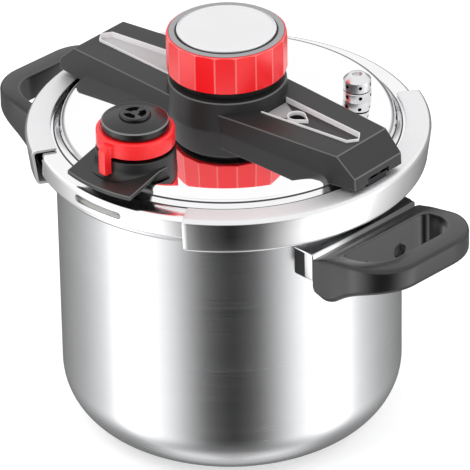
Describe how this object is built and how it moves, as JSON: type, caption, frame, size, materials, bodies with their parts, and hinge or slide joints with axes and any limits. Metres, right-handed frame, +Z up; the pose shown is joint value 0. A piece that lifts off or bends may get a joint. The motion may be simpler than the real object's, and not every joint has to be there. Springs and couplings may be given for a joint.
{
  "type": "pressure canner",
  "caption": "Tall stainless stovetop pressure canner with two loop side handles and a mirror lid clamped by two jaws that a central red knob works through black arms.",
  "frame": {"origin": "centre of the flat base, on the surface it stands on", "axes": "+Z up; +X along one side handle; the pressure valve is near -Y and the clamp arms are turned 4 degrees from X"},
  "size_m": [0.364, 0.2499, 0.2759],
  "materials": {
    "pot_steel": "satin brushed stainless steel",
    "base_steel": "satin stainless steel cap",
    "base_aluminium": "plain aluminium core",
    "bracket_steel": "polished steel",
    "pad_black": "matt black",
    "handle_black": "satin black with fine grain",
    "screw_steel": "plain steel",
    "lid_mirror": "mirror polished steel",
    "seal_silicone": "grey silicone",
    "jaw_steel": "polished steel",
    "bar_steel": "plain steel",
    "cam_steel": "plain steel",
    "arm_black": "satin black with fine grain",
    "trim_silver": "bright silver",
    "knob_black": "matt black",
    "grip_red": "satin red",
    "ring_grey": "satin grey",
    "disc_aluminium": "brushed",
    "valve_black": "satin black",
    "valve_steel": "machined steel",
    "selector_red": "satin red",
    "cap_black": "satin black",
    "indicator_red": "gloss red",
    "safety_steel": "turned and polished steel"
  },
  "bodies": {
    "pot": {"pot_body": "pot_steel", "pot_rim": "pot_steel", "base_core": "base_aluminium", "base_cap": "base_steel", "bracket_right": "bracket_steel", "bracket_left": "bracket_steel", "pad_right": "pad_black", "pad_left": "pad_black", "handle_right": "handle_black", "handle_left": "handle_black", "handle_screws": "screw_steel"},
    "lid": {"lid_shell": "lid_mirror", "gasket": "seal_silicone", "centre_post": "valve_steel", "post_lid_nut": "screw_steel", "post_washer": "screw_steel", "post_nut": "screw_steel", "bridge_housing": "arm_black", "arm_trim_right": "trim_silver", "arm_trim_left": "trim_silver", "bridge_screws": "screw_steel", "valve_base": "valve_black", "valve_tube": "valve_steel", "valve_seal": "seal_silicone", "valve_nut": "screw_steel", "valve_spring": "cam_steel", "valve_cap": "cap_black", "float_bush": "seal_silicone", "safety_body": "safety_steel", "safety_crown": "safety_steel", "safety_seal": "seal_silicone", "safety_nut": "screw_steel", "safety_spring": "cam_steel"},
    "knob": {"cam_plate": "cam_steel", "knob_core": "knob_black", "knob_grip": "grip_red", "knob_ring": "ring_grey", "knob_disc": "disc_aluminium"},
    "clamp_right": {"jaw_right": "jaw_steel", "slide_bar_right": "bar_steel", "cam_pin_right": "cam_steel", "jaw_rivets_right": "screw_steel"},
    "clamp_left": {"jaw_left": "jaw_steel", "slide_bar_left": "bar_steel", "cam_pin_left": "cam_steel", "jaw_rivets_left": "screw_steel"},
    "selector": {"selector_ring": "selector_red"},
    "regulator": {"valve_piston": "valve_steel"},
    "indicator": {"float_pin": "indicator_red"},
    "relief": {"safety_plunger": "valve_steel"}
  },
  "joints": [
    {"name": "lid_lift", "type": "slide", "parent": "pot", "child": "lid", "axis": [0, 0, 1], "range_m": [0, 0.15]},
    {"name": "knob_turn", "type": "hinge", "parent": "lid", "child": "knob", "pos_m": [0, 0, 0.21], "axis": [0, 0, 1], "range_deg": [0, 90]},
    {"name": "clamp_right_slide", "type": "slide", "parent": "lid", "child": "clamp_right", "axis": [0.9976, 0.0698, 0], "range_m": [0, 0.0121]},
    {"name": "clamp_left_slide", "type": "slide", "parent": "lid", "child": "clamp_left", "axis": [-0.9976, -0.0698, 0], "range_m": [0, 0.0121]},
    {"name": "selector_turn", "type": "hinge", "parent": "lid", "child": "selector", "pos_m": [0.00607, -0.08679, 0.21], "axis": [0, 0, 1], "range_deg": [-45, 45]},
    {"name": "regulator_lift", "type": "slide", "parent": "lid", "child": "regulator", "axis": [0, 0, 1], "range_m": [0, 0.003], "stiffness_N_per_m": 400, "springref_m": -0.004, "deforming": ["valve_spring"]},
    {"name": "indicator_lift", "type": "slide", "parent": "lid", "child": "indicator", "axis": [0, 0, 1], "range_m": [0, 0.004]},
    {"name": "relief_lift", "type": "slide", "parent": "lid", "child": "relief", "axis": [0, 0, 1], "range_m": [0, 0.0025], "stiffness_N_per_m": 800, "springref_m": -0.003, "deforming": ["safety_spring"]}
  ],
  "couplings": [
    {"joint": "clamp_right_slide", "follows": "knob_turn", "m_per_rad": 0.0076394},
    {"joint": "clamp_left_slide", "follows": "knob_turn", "m_per_rad": 0.0076394}
  ]
}
